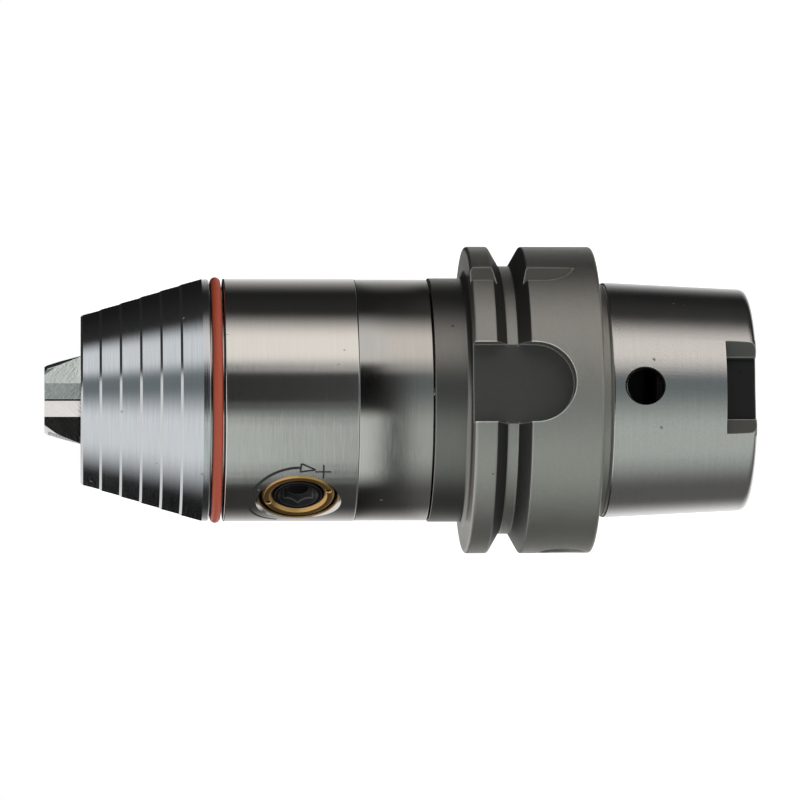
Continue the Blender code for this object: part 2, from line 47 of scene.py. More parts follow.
toward_camera = Vector((-math.sin(VIEW_TURN), -math.cos(VIEW_TURN), 0))
camera_data = bpy.data.cameras.new("bench_camera")
camera_data.lens = 223.0
camera_data.sensor_width = 36.0
camera_data.clip_end = 100.0
camera = bpy.data.objects.new("bench_camera", camera_data)
scene.collection.objects.link(camera)
station = toward_camera * EYE_DISTANCE + Vector((0, 0, EYE_HEIGHT))
backward = (station - Vector((0, 0, AIM_HEIGHT))).normalized()
upward = backward.cross(Vector((0, 0, -1))).normalized()
rightward = upward.cross(backward)
camera.matrix_world = Matrix.Translation(station) @ Matrix(
    (rightward, upward, backward)
).transposed().to_4x4()
scene.camera = camera

# The surroundings: one wide white card beside the camera, another on its other side, a white
# sheet behind the chuck, and dark cloth between them. Each is placed by its bearing, which is
# the angle round the chuck's axis from the camera, and by its height.
world = bpy.data.worlds.new("studio")
scene.world = world
world.use_nodes = True
nodes, links = world.node_tree.nodes, world.node_tree.links
nodes.clear()


def put(kind, **values):
    """Add a node, with its properties and its inputs' values or links by name."""
    node = nodes.new(kind)
    for name, value in values.items():
        if name.startswith("in_"):
            key = name[3:]
            socket = node.inputs[int(key)] if key.isdigit() else node.inputs[key.replace("_", " ")]
            if isinstance(value, bpy.types.NodeSocket):
                links.new(value, socket)
            else:
                socket.default_value = value
        else:
            setattr(node, name, value)
    return node


def sums(operation, first, second=0.0, third=None, clamp=False):
    """A Math node's result."""
    node = put("ShaderNodeMath", operation=operation, use_clamp=clamp, in_0=first, in_1=second)
    if third is not None:
        if isinstance(third, bpy.types.NodeSocket):
            links.new(third, node.inputs[2])
        else:
            node.inputs[2].default_value = third
    return node.outputs[0]


def panorama(bearing, stops):
    """Soft fades round the chuck, from (bearing in degrees, grey or colour) stops."""
    node = put("ShaderNodeValToRGB", in_Fac=bearing)
    node.color_ramp.interpolation = "EASE"
    elements = node.color_ramp.elements
    while len(elements) < len(stops):
        elements.new(1.0)
    for element, (degrees, colour) in zip(elements, stops):
        element.position = 0.5 + degrees / 360.0
        shade = (colour,) * 3 if isinstance(colour, (int, float)) else colour
        element.color = (*shade, 1.0)
    return node.outputs["Color"]


ray = put("ShaderNodeTexCoord").outputs["Generated"]
along = put("ShaderNodeVectorMath", operation="DOT_PRODUCT", in_0=ray, in_1=toward_camera)
across = put("ShaderNodeVectorMath", operation="DOT_PRODUCT", in_0=ray, in_1=upward)
bearing = sums("ARCTAN2", across.outputs["Value"], along.outputs["Value"])
bearing = sums("MULTIPLY_ADD", bearing, 0.5 / math.pi, 0.5)
height = put("ShaderNodeSeparateXYZ", in_0=ray).outputs["Z"]

WARM_WHITE, COOL_WHITE, GREEN_WHITE = (1.05, 1.0, 0.95), (0.95, 0.98, 1.0), (0.9, 0.97, 0.94)
CLOTH = (0.2, 0.23, 0.24)

# Seen from under the chuck: mostly by the taper, which leans out towards the flange.
under_sky = panorama(bearing, [
    (-180, 1.0), (-160, 0.95), (-120, 0.15), (-100, 0.15), (-50, (0.6, 0.65, 0.62)),
    (-30, (0.6, 0.65, 0.62)), (15, CLOTH), (25, CLOTH), (27, 0.5), (45, WARM_WHITE),
    (58, WARM_WHITE), (92, 0.05), (130, 0.02), (180, 0.95),
])
low_sky = panorama(bearing, [
    (-180, 0.9), (-120, 0.05), (-100, 0.05), (25, 0.05), (27, 0.45), (45, WARM_WHITE),
    (58, WARM_WHITE), (92, 0.03), (120, 0.02), (180, 1.0),
])
# Seen level: by the sleeve and the flats of the jaws.
level_sky = panorama(bearing, [
    (-180, 0.01), (-96, 0.01), (-68, GREEN_WHITE), (-20, GREEN_WHITE), (-6, 0.0), (32, 0.0),
    (38, 0.95), (64, 0.95), (94, 0.02), (180, 0.01),
])
# Seen from above: by the nose, which leans in, and at the steepest by its ledges.
high_sky = panorama(bearing, [
    (-180, 0.01), (-120, 0.02), (-55, COOL_WHITE), (-25, COOL_WHITE), (15, CLOTH), (25, CLOTH),
    (45, COOL_WHITE), (65, COOL_WHITE), (90, 0.03), (180, 0.01),
])
top_sky = panorama(bearing, [(-180, 0.8), (-150, 0.95), (30, 1.0), (48, 0.05), (180, 0.02)])


def blend(share, first, second):
    return put("ShaderNodeMix", data_type="RGBA", in_0=share, in_6=first, in_7=second).outputs[2]


sinking = sums("MULTIPLY_ADD", height, -50.0, -4.7, clamp=True)
rising = sums("MULTIPLY_ADD", height, 40.0, 1.0, clamp=True)
rearing = sums("MULTIPLY_ADD", height, 8.0, -1.6, clamp=True)
frontness = sums("MAXIMUM", sums("SINE", sums("MULTIPLY", bearing, math.pi)), 0.05)
topping = sums("MULTIPLY_ADD", sums("DIVIDE", height, frontness), 9.0, -5.8, clamp=True)
sky = blend(sinking, low_sky, under_sky)
sky = blend(rising, sky, level_sky)
sky = blend(rearing, sky, high_sky)
sky = blend(topping, sky, top_sky)
surroundings = put("ShaderNodeBackground", in_Color=sky, in_Strength=1.0)
backdrop = put("ShaderNodeBackground", in_Color=(1, 1, 1, 1), in_Strength=1.0)
seen = put("ShaderNodeLightPath").outputs["Is Camera Ray"]
mixed = put("ShaderNodeMixShader", in_0=seen, in_1=surroundings.outputs[0],
            in_2=backdrop.outputs[0])
put("ShaderNodeOutputWorld", in_0=mixed.outputs[0])

# Nested cards light the chuck on that other side, each narrower than the last, so that their
# light fades out at its sides.
def card(name, bearing_low, bearing_high, low, top, radiance, reach=1.2):
    """A glowing card that faces the axis, between two bearings and two heights."""
    data = bpy.data.lights.new(name, "AREA")
    middle = math.radians((bearing_low + bearing_high) / 2)
    facing = toward_camera * math.cos(middle) + upward * math.sin(middle)
    data.shape = "RECTANGLE"
    data.size = 2 * reach * math.tan(math.radians(bearing_high - bearing_low) / 2)
    data.size_y = top - low
    data.color = (0.93, 1.03, 0.99)
    data.energy = radiance * math.pi * data.size * data.size_y
    lamp = bpy.data.objects.new(name, data)
    scene.collection.objects.link(lamp)
    sideways = Vector((0, 0, 1)).cross(facing)
    lamp.matrix_world = Matrix.Translation(facing * reach + Vector((0, 0, (low + top) / 2))) @ (
        Matrix((sideways, Vector((0, 0, 1)), facing)).transposed().to_4x4())
    lamp.visible_camera = False
    return lamp


fills = [card(f"fill_{index + 1}", -86 + 8 * index, -2 - 7 * index, -0.04, 0.1, 0.085)
         for index in range(4)]

# The table's top is a hair below the shank's end face, and can be seen through from below.
TABLE_REACH, TABLE_TOP = 40, -0.00005
table_mesh = bpy.data.meshes.new("table")
table_mesh.from_pydata([(x * TABLE_REACH, y * TABLE_REACH, TABLE_TOP)
                        for x, y in ((-1, -1), (1, -1), (1, 1), (-1, 1))], [], [(0, 1, 2, 3)])
table = bpy.data.objects.new("table", table_mesh)
scene.collection.objects.link(table)
table.visible_glossy = False
table.visible_shadow = False
table_look = bpy.data.materials.new("pale_table")
table_look.use_nodes = True
shader = table_look.node_tree.nodes["Principled BSDF"]
shader.inputs["Base Color"].default_value = (0.62, 0.62, 0.62, 1)
shader.inputs["Roughness"].default_value = 0.9
shader.inputs["Specular IOR Level"].default_value = 0.1
shader.inputs["Emission Color"].default_value = (1, 1, 1, 1)
shader.inputs["Emission Strength"].default_value = 0.9
nodes, links = table_look.node_tree.nodes, table_look.node_tree.links
from_below = put("ShaderNodeNewGeometry").outputs["Backfacing"]
seen = put("ShaderNodeMixShader", in_0=from_below, in_1=shader.outputs[0],
           in_2=put("ShaderNodeBsdfTransparent").outputs[0])
links.new(seen.outputs[0], nodes["Material Output"].inputs["Surface"])
table_mesh.materials.append(table_look)

# ---- Shank ------------------------------------------------------------------------------
# The hollow taper tail, gripper flange and dark neck are turned and milled from one forging
# of case-hardened steel. The taper is ground; the flange is left with a sandy satin finish.
MM = 0.001
TAIL_TOP, FLANGE_LOW, GROOVE_MIDDLE, FLANGE_TOP, NECK_TOP = 29.4, 32, 50, 58, 65.5
FLANGE_RADIUS, NECK_RADIUS, GROOVE_RADIUS, RELIEF = 31.5, 25, 27.5, 0.45
SLOT_DEPTH, KEYWAY_FLOOR = 6.4, 26.5
INDEX_TURN, INDEX_FLOOR = 26, 28.6


def soften(outline, radii, steps=4):
    """Round the corners of a (radius, height) outline. radii gives each corner's own size."""
    points = []
    count = len(outline)
    for index, corner in enumerate(outline):
        radius = radii.get(index, 0.0) if isinstance(radii, dict) else radii
        here = Vector(corner)
        before, after = Vector(outline[index - 1]), Vector(outline[(index + 1) % count])
        if radius <= 0 or here.x <= 1e-6:
            points.append(tuple(here))
            continue
        back, ahead = (before - here), (after - here)
        reach = min(radius, back.length * 0.48, ahead.length * 0.48)
        start, end = here + back.normalized() * reach, here + ahead.normalized() * reach
        for step in range(steps + 1):
            t = step / steps
            points.append(tuple(start.lerp(here, t).lerp(here.lerp(end, t), t)))
    return points


def piece_from(bm, name, place=None):
    """Link a mesh made in millimetres as a smooth-shaded object, baked in its place."""
    bmesh.ops.remove_doubles(bm, verts=bm.verts, dist=0.0004)
    bmesh.ops.recalc_face_normals(bm, faces=bm.faces)
    bmesh.ops.scale(bm, vec=(MM, MM, MM), verts=bm.verts)
    if place is not None:
        bmesh.ops.transform(bm, matrix=place, verts=bm.verts)
    mesh = bpy.data.meshes.new(name)
    bm.to_mesh(mesh)
    bm.free()
    made = bpy.data.objects.new(name, mesh)
    scene.collection.objects.link(made)
    mesh.shade_smooth()
    mesh.set_sharp_from_angle(angle=math.radians(32))
    return made


def turn(name, outline, place=None, sides=192):
    """Turn an outline of (radius, height) points round Z, closed where it leaves the axis."""
    bm = bmesh.new()
    points = [bm.verts.new((radius, 0, level)) for radius, level in outline]
    edges = [bm.edges.new(pair) for pair in zip(points, points[1:])]
    if min(outline[0][0], outline[-1][0]) > 0:
        edges.append(bm.edges.new((points[-1], points[0])))
    bmesh.ops.spin(bm, geom=points + edges, cent=(0, 0, 0), axis=(0, 0, 1),
                   angle=2 * math.pi, steps=sides, use_merge=True)
    return piece_from(bm, name, place)


def extrude(name, outline, low, high, place=None):
    """Raise an outline of (x, y) points between two heights."""
    bm = bmesh.new()
    base = bm.faces.new([bm.verts.new((x, y, low)) for x, y in outline])
    lifted = bmesh.ops.extrude_face_region(bm, geom=[base])["geom"]
    bmesh.ops.translate(bm, vec=(0, 0, high - low),
                        verts=[v for v in lifted if isinstance(v, bmesh.types.BMVert)])
    return piece_from(bm, name, place)


def settle(piece):
    """Apply a piece's modifiers."""
    graph = bpy.context.evaluated_depsgraph_get()
    done = bpy.data.meshes.new_from_object(piece.evaluated_get(graph))
    piece.modifiers.clear()
    piece.data = done


def mill(piece, cutters, operation="DIFFERENCE"):
    """Cut a piece with tools that are thrown away afterwards."""
    for cutter in cutters:
        modifier = piece.modifiers.new("mill", "BOOLEAN")
        modifier.operation = operation
        modifier.solver = "EXACT"
        modifier.object = cutter
    settle(piece)
    for cutter in cutters:
        bpy.data.objects.remove(cutter, do_unlink=True)


def break_edges(piece, width, angle=34):
    """Bevel the milled edges lightly, as a deburring pass does."""
    modifier = piece.modifiers.new("break", "BEVEL")
    modifier.width = width * MM
    modifier.segments = 2
    modifier.limit_method = "ANGLE"
    modifier.angle_limit = math.radians(angle)
    modifier.use_clamp_overlap = True
    modifier.miter_outer = "MITER_ARC"
    settle(piece)
    piece.data.shade_smooth()
    piece.data.set_sharp_from_angle(angle=math.radians(32))
    even = piece.modifiers.new("even", "WEIGHTED_NORMAL")
    even.keep_sharp = True
    settle(piece)


def round_points(radius, sides, centre=(0.0, 0.0), start=0.0, sweep=360.0):
    """Points of a circle, or of an arc with both its ends."""
    count = sides if sweep >= 360.0 else sides + 1
    return [(centre[0] + radius * math.cos(math.radians(start + sweep * i / sides)),
             centre[1] + radius * math.sin(math.radians(start + sweep * i / sides)))
            for i in range(count)]


def spoke(degrees):
    """Turns +X to a radial direction, at an angle from -Y towards +X."""
    return Matrix.Rotation(math.radians(degrees - 90), 4, "Z")


def bore_line(degrees, level):
    """Frame whose Z axis points out of the chuck along a radial direction."""
    return (Matrix.Translation((0, 0, level * MM)) @ spoke(degrees)
            @ Matrix.Rotation(math.pi / 2, 4, "Y"))


def outward(degrees):
    """Frame for an outline in (sideways, height), extruded away from the axis."""
    return Matrix.Rotation(math.radians(degrees), 4, "Z") @ Matrix.Rotation(math.pi / 2, 4, "X")


def cone_at(level):
    """Radius of the 1:9.98 taper."""
    return 24.005 + (level - 25.7) / 9.98 / 2


def group_of(name, inputs, outputs):
    """Start a shader node group and point the node helpers at it."""
    global nodes, links
    group = bpy.data.node_groups.new(name, "ShaderNodeTree")
    for label, kind in inputs:
        group.interface.new_socket(label, in_out="INPUT", socket_type=kind)
    for label, kind in outputs:
        group.interface.new_socket(label, in_out="OUTPUT", socket_type=kind)
    nodes, links = group.nodes, group.links
    return group, nodes.new("NodeGroupInput"), nodes.new("NodeGroupOutput")


# Lathe and grinding marks: fine lines round the axis, each of them fading along its length.
marks_group, source, result = group_of(
    "machining_marks", [("Vector", "NodeSocketVector"), ("Pitch", "NodeSocketFloat")],
    [("Lines", "NodeSocketFloat"), ("Bands", "NodeSocketFloat")])
parts = put("ShaderNodeSeparateXYZ", in_0=source.outputs["Vector"])
x, y, z = parts.outputs
radius = sums("MAXIMUM", sums("SQRT", sums("ADD", sums("MULTIPLY", x, x),
                                           sums("MULTIPLY", y, y))), 0.0001)
level = sums("MULTIPLY", sums("ADD", z, radius), source.outputs["Pitch"])
for label, scale, spread, detail in (("Lines", 1.0, 2.2, 3.0), ("Bands", 0.12, 0.7, 2.0)):
    spot = put("ShaderNodeCombineXYZ", in_0=sums("MULTIPLY", level, scale),
               in_1=sums("MULTIPLY", sums("DIVIDE", x, radius), spread),
               in_2=sums("MULTIPLY", sums("DIVIDE", y, radius), spread))
    noise = put("ShaderNodeTexNoise", in_Vector=spot.outputs[0], in_Scale=1.0,
                in_Detail=detail, in_Roughness=0.62)
    links.new(noise.outputs["Fac"], result.inputs[label])

# Fine grain, scattered pits and larger hand smudges.
grain_group, source, result = group_of(
    "surface_grain", [("Vector", "NodeSocketVector"), ("Scale", "NodeSocketFloat")],
    [("Grain", "NodeSocketFloat"), ("Pits", "NodeSocketFloat"), ("Smudges", "NodeSocketFloat")])
noise = put("ShaderNodeTexNoise", in_Vector=source.outputs["Vector"],
            in_Scale=source.outputs["Scale"], in_Detail=4.0, in_Roughness=0.7)
links.new(noise.outputs["Fac"], result.inputs["Grain"])
cells = put("ShaderNodeTexVoronoi", in_Vector=source.outputs["Vector"], in_Scale=420.0)
sparse = put("ShaderNodeTexNoise", in_Vector=source.outputs["Vector"], in_Scale=160.0)
pits = sums("MULTIPLY", sums("LESS_THAN", cells.outputs["Distance"], 0.16),
            sums("GREATER_THAN", sparse.outputs["Fac"], 0.66))
links.new(pits, result.inputs["Pits"])
smudge = put("ShaderNodeTexNoise", in_Vector=source.outputs["Vector"], in_Scale=70.0,
             in_Detail=3.0, in_Distortion=0.6)
links.new(smudge.outputs["Fac"], result.inputs["Smudges"])

# Bright edges, partly real wear and partly a painted highlight where the chamfers would catch the
# light, and painted shade in the corners.
wear_and_highlight_group, source, result = group_of(
    "edge_wear_and_highlight", [("Grain", "NodeSocketFloat")],
    [("WearAndHighlight", "NodeSocketFloat"), ("PaintedCornerShade", "NodeSocketFloat")])
facing = put("ShaderNodeNewGeometry").outputs["Normal"]
# Painted highlight in part: edges, concave ones too, are lightened where the bevel normal turns, as
# well as for real wear.
rounded = put("ShaderNodeBevel", samples=6, in_Radius=0.0004).outputs["Normal"]
agree = put("ShaderNodeVectorMath", operation="DOT_PRODUCT", in_0=facing, in_1=rounded)
broken = sums("MULTIPLY_ADD", source.outputs["Grain"], 0.5, 0.75)
wear_and_highlight = sums("MULTIPLY", sums("SUBTRACT", 1.0, agree.outputs["Value"]), broken)
links.new(sums("MULTIPLY_ADD", wear_and_highlight, 22.0, -0.2, clamp=True), result.inputs["WearAndHighlight"])
# Painted shade: ambient occlusion darkens the colour in corners and recesses.
hollow = put("ShaderNodeAmbientOcclusion", samples=4, in_Distance=0.0012).outputs["AO"]
links.new(sums("MULTIPLY_ADD", hollow, -1.6, 1.3, clamp=True), result.inputs["PaintedCornerShade"])


def finish(name, colour, roughness, metallic=1.0, lines=0.3, pitch=9000.0, grain=0.2,
           grain_scale=3000.0, bump=0.05, wear_and_highlight=0.4, worn_and_lit=(0.75, 0.74, 0.72), pits=0.5,
           smudge=0.1, streaky=0.0):
    """A machined or moulded finish. lines, grain, pits, edge wear and smudge are amounts from 0; the
    edge brightening is partly real wear and partly a painted highlight.
    """
    global nodes, links
    look = bpy.data.materials.new(name)
    look.use_nodes = True
    nodes, links = look.node_tree.nodes, look.node_tree.links
    shader = nodes["Principled BSDF"]
    place = put("ShaderNodeTexCoord").outputs["Object"]
    marks = put("ShaderNodeGroup", node_tree=marks_group, in_Vector=place, in_Pitch=pitch)
    sand = put("ShaderNodeGroup", node_tree=grain_group, in_Vector=place, in_Scale=grain_scale)
    edges = put("ShaderNodeGroup", node_tree=wear_and_highlight_group, in_Grain=sand.outputs["Grain"])
    dark = tuple(channel * 0.45 for channel in colour)
    mix = sums("MULTIPLY_ADD", sums("SUBTRACT", marks.outputs["Lines"], 0.5), lines,
               sums("MULTIPLY", sums("SUBTRACT", sand.outputs["Grain"], 0.5), grain))
    mix = sums("ADD", mix, sums("MULTIPLY", sums("SUBTRACT", marks.outputs["Bands"], 0.5),
                                streaky))
    mix = sums("MULTIPLY_ADD", sand.outputs["Pits"], pits, mix)
    # Painted shade: the colour is darkened in corners found by ambient occlusion.
    mix = sums("MULTIPLY_ADD", edges.outputs["PaintedCornerShade"], 0.6, mix)
    mix = sums("ADD", mix, 0.12, clamp=True)
    tone = put("ShaderNodeMix", data_type="RGBA", in_0=mix, in_6=(*colour, 1), in_7=(*dark, 1))
    # Edges are lightened towards the worn colour: partly real wear, partly a painted highlight.
    tone = put("ShaderNodeMix", data_type="RGBA",
               in_0=sums("MULTIPLY", edges.outputs["WearAndHighlight"], wear_and_highlight),
               in_6=tone.outputs[2], in_7=(*worn_and_lit, 1))
    links.new(tone.outputs[2], shader.inputs["Base Color"])
    rough = sums("MULTIPLY_ADD", sums("SUBTRACT", sand.outputs["Smudges"], 0.5), smudge,
                 roughness)
    rough = sums("MULTIPLY_ADD", sums("SUBTRACT", marks.outputs["Lines"], 0.5), lines * 0.3,
                 rough)
    rough = sums("MULTIPLY_ADD", sand.outputs["Pits"], 0.3, rough, clamp=True)
    links.new(rough, shader.inputs["Roughness"])
    relief = sums("MULTIPLY_ADD", marks.outputs["Lines"], lines,
                  sums("MULTIPLY", sand.outputs["Grain"], grain))
    relief = sums("MULTIPLY_ADD", sand.outputs["Pits"], -1.0 * pits, relief)
    bumped = put("ShaderNodeBump", in_Strength=bump, in_Distance=0.0004, in_Height=relief)
    links.new(bumped.outputs["Normal"], shader.inputs["Normal"])
    shader.inputs["Metallic"].default_value = metallic
    return look


def paint(piece, looks, choose=None):
    """Give a piece its finishes; choose returns a face's finish number from its middle, in mm."""
    piece.data.materials.clear()
    for look in looks:
        piece.data.materials.append(look)
    if choose:
        for face in piece.data.polygons:
            face.material_index = choose(face.center / MM, face.normal)


shank = turn("shank", soften([
    (0, 38), (8, 38), (8, 26.5), (18, 26.5), (20, 24.5), (20, 18.13), (17, 16.4), (17, 0.8),
    (17.8, 0), (cone_at(0), 0), (cone_at(TAIL_TOP), TAIL_TOP),
    (cone_at(TAIL_TOP) - RELIEF, TAIL_TOP + 0.5), (cone_at(TAIL_TOP) - RELIEF, FLANGE_LOW),
    (FLANGE_RADIUS, FLANGE_LOW), (FLANGE_RADIUS, GROOVE_MIDDLE - 3.45),
    (GROOVE_RADIUS, GROOVE_MIDDLE - 1.15), (GROOVE_RADIUS, GROOVE_MIDDLE + 1.15),
    (FLANGE_RADIUS, GROOVE_MIDDLE + 3.45), (FLANGE_RADIUS, FLANGE_TOP),
    (NECK_RADIUS + 1.6, FLANGE_TOP), (NECK_RADIUS + 0.6, FLANGE_TOP + 0.25),
    (NECK_RADIUS, FLANGE_TOP + 0.9), (NECK_RADIUS, NECK_TOP), (21.3, NECK_TOP), (21.3, 66.8),
    (19.7, 66.8), (19.7, 68.6), (21.3, 68.6), (21.3, 69.5), (8.5, 69.5), (8.5, 54), (0, 54),
], {1: 0.3, 2: 0.6, 5: 0.4, 6: 0.4, 8: 0.4, 9: 1.6, 10: 0.3, 11: 0.2, 13: 0.75, 14: 0.35,
    15: 0.35, 16: 0.35, 17: 0.35, 18: 0.75, 20: 0.2, 21: 0.3, 22: 0.25}))
tools = []
for side in (-1, 1):
    tools.append(extrude("slot", [
        (6.3, side * 18), (6.3, side * 19.2), (9.5, side * 20.9), (9.5, side * 26),
        (-9.5, side * 26), (-9.5, side * 20.9), (-6.3, side * 19.2), (-6.3, side * 18),
    ], -1, SLOT_DEPTH))
for degrees, width in ((0, 16.0), (180, 18.0)):
    half = width / 2
    outline = round_points(half, 40, (0, 37.7 + half), 180, 180)
    tools.append(extrude("keyway", outline + [(half, 59), (-half, 59)], KEYWAY_FLOOR, 36,
                         outward(degrees)))
outline = round_points(6.3, 32, (15.6, 42.8), 180, 180)
tools.append(extrude("index", outline + [(21.9, 59), (9.3, 59)], INDEX_FLOOR, 36,
                     outward(INDEX_TURN)))
tools.append(turn("chip", soften([(0, 26.9), (5, 26.9), (5, 31.0), (5.8, 33), (0, 33)], {1: 0.2}),
                  bore_line(-90, 38), 64))
tools.append(turn("access", [(0, 10), (3.75, 10), (3.75, 23.3), (4.6, 24.6), (4.6, 30), (0, 30)],
                  bore_line(0, 22.9), 64))
mill(shank, tools)
break_edges(shank, 0.28)

index_normal = Vector((math.sin(math.radians(INDEX_TURN)), -math.cos(math.radians(INDEX_TURN)),
                       0))


def shank_zone(spot, normal):
    """Finish of each face: 0 taper, 1 flange, 2 neck, 3 bore and slot floors painted near-black as
    shade, 4 milled faces.
    """
    radius = math.hypot(spot.x, spot.y)
    if spot.z < 6.5 and radius < 24 and abs(spot.x) < 6.8 and 17.4 < abs(spot.y) < 21:
        return 3
    if radius < 20.6 and spot.z < 38.2 or math.hypot(spot.x, spot.z - 22.9) < 3.9 and radius < 23.8:
        return 3
    if spot.z < SLOT_DEPTH + 0.05 and abs(spot.x) < 9.6 and radius < cone_at(spot.z) - 0.5:
        return 4
    if spot.z < 29.7:
        return 0
    if spot.z > 37 and abs(abs(spot.y) - KEYWAY_FLOOR) < 0.1 and abs(spot.x) < 9.2 and radius > 26.4:
        return 4
    if abs(normal.dot(index_normal)) > 0.97 and abs(spot.dot(index_normal) - INDEX_FLOOR) < 0.15:
        return 4
    if abs(spot.z - GROOVE_MIDDLE) < 3.5 and abs(normal.z) > 0.5 and radius < 31.4:
        return 4
    return 2 if spot.z > 57.9 and radius < 26.8 or spot.z > 58.4 else 1


paint(shank, [
    finish("ground_taper", (0.60, 0.59, 0.575), 0.15, lines=0.22, pitch=14000, grain=0.45,
           bump=0.07, streaky=0.12, pits=0.8),
    finish("flange_satin", (0.41, 0.40, 0.37), 0.36, lines=0.18, pitch=7000, grain=0.9,
           grain_scale=5200, bump=0.3, wear_and_highlight=1.0, worn_and_lit=(1.0, 0.99, 0.96), pits=0.8,
           smudge=0.16),
    finish("neck_dark", (0.22, 0.215, 0.20), 0.34, lines=0.3, pitch=6000, grain=0.3, bump=0.12,
           wear_and_highlight=0.3),
    # Painted shade: the bore, the holes and the slot floors are coloured near-black for the shade
    # inside them.
    finish("bore_painted_shade", (0.05, 0.05, 0.048), 0.45, lines=0.2, grain=0.4, bump=0.15, wear_and_highlight=0.6,
           worn_and_lit=(0.45, 0.44, 0.42)),
    finish("milled_dark", (0.13, 0.128, 0.12), 0.5, lines=0.15, grain=0.6, grain_scale=5200,
           bump=0.2, wear_and_highlight=0.9, worn_and_lit=(0.6, 0.59, 0.56)),
], shank_zone)
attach(shank, "body")
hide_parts("shank_body")

# ---- Gear housing ------------------------------------------------------------------------
# A hardened sleeve, ground bright, with the key port bored through its side. The band behind
# it is a little smaller and duller, and is where a maker would mark the tool.
WALL, BAND_RADIUS, SLEEVE_RADIUS = 21.6, 24.75, 24.875
BAND_TOP, SLEEVE_TOP = 80.66, 107.5
PORT_TURN, PORT_LEVEL = -63, 92.5
band = turn("marked_band", soften([
    (WALL, 65.8), (BAND_RADIUS, 65.8), (BAND_RADIUS, BAND_TOP), (WALL, BAND_TOP),
], {1: 0.25, 2: 0.12}))
paint(band, [finish("band_steel", (0.52, 0.505, 0.48), 0.14, lines=0.25, pitch=12000, grain=0.15,
                    bump=0.05, smudge=0.12, streaky=0.1)])
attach(band, "body")

sleeve = turn("ground_sleeve", soften([
    (WALL, BAND_TOP + 0.04), (SLEEVE_RADIUS, BAND_TOP + 0.04), (SLEEVE_RADIUS, SLEEVE_TOP),
    (WALL, SLEEVE_TOP),
], {1: 0.22, 2: 0.3}), sides=256)
port = turn("port_cutter", soften([
    (0, 18), (7.8, 18), (7.8, 23.6), (8.35, 24.5), (9.6, 26.2), (0, 26.2),
], {2: 0.5, 3: 0.4}), bore_line(PORT_TURN, PORT_LEVEL), 96)
mill(sleeve, [port])
break_edges(sleeve, 0.1)


def sleeve_zone(spot, normal):
    return 1 if math.hypot(spot.x, spot.y) < 23.4 else 0


paint(sleeve, [
    finish("ground_sleeve_steel", (0.72, 0.70, 0.67), 0.11, lines=0.25, pitch=16000, grain=0.08,
           bump=0.04, smudge=0.08, streaky=0.08),
    finish("port_wall", (0.30, 0.28, 0.25), 0.35, lines=0.2, grain=0.3, bump=0.1),
], sleeve_zone)
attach(sleeve, "body")
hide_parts("gear_housing")

# The nested cards stay off the band.
for lamp in fills:
    shaded = bpy.data.collections.new(lamp.name + "_shaded")
    shaded.objects.link(band)
    shaded.collection_objects[0].light_linking.link_state = "EXCLUDE"
    lamp.light_linking.receiver_collection = shaded

# ---- Direction mark -----------------------------------------------------------------------
# A laser-marked arrow round the key port with a plus at its head: the way the key is turned
# to tighten the jaws. It is a dark stain on the ground surface.


STAIN_UNDER, STAIN_OVER = SLEEVE_RADIUS - 0.01, SLEEVE_RADIUS + 0.018


def ribbon(bm, line, width):
    """Lay a thin stroke on the sleeve along (down the axis, round the sleeve) points."""
    rows = []
    for index, (u, v) in enumerate(line):
        ahead = Vector(line[min(index + 1, len(line) - 1)])
        behind = Vector(line[max(index - 1, 0)])
        aside = (ahead - behind).normalized().orthogonal() * (width / 2)
        row = []
        for radius, side in ((STAIN_UNDER, -1), (STAIN_OVER, -1), (STAIN_OVER, 1),
                             (STAIN_UNDER, 1)):
            angle = math.radians(PORT_TURN) + (v + aside.y * side) / SLEEVE_RADIUS
            row.append(bm.verts.new((radius * math.sin(angle), -radius * math.cos(angle),
                                     PORT_LEVEL - u - aside.x * side)))
        rows.append(row)
    for first, second in zip(rows, rows[1:]):
        for index in range(4):
            following = (index + 1) % 4
            bm.faces.new((first[index], first[following], second[following], second[index]))
    bm.faces.new(rows[0])
    bm.faces.new(rows[-1])


def straight(start, end, steps=6):
    return [tuple(Vector(start).lerp(Vector(end), i / steps)) for i in range(steps + 1)]


bm = bmesh.new()
ribbon(bm, round_points(10.1, 60, (0, -0.2), 246, -156), 0.6)
head_points = [(0.3, 10.9), (0.1, 8.9), (3.2, 9.4)]
for start, end in zip(head_points, head_points[1:] + head_points[:1]):
    ribbon(bm, straight(start, end), 0.38)
ribbon(bm, straight((3.1, 8.9), (6.3, 8.9)), 0.34)
for low, high in ((7.2, 8.72), (9.08, 10.6)):
    ribbon(bm, straight((4.8, low), (4.8, high)), 0.34)
direction_mark = piece_from(bm, "direction_mark")
paint(direction_mark, [finish("laser_stain", (0.012, 0.013, 0.014), 0.6, metallic=0.0, lines=0.3,
                              grain=0.6, bump=0.05, wear_and_highlight=0.0, pits=0.0)])
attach(direction_mark, "body")

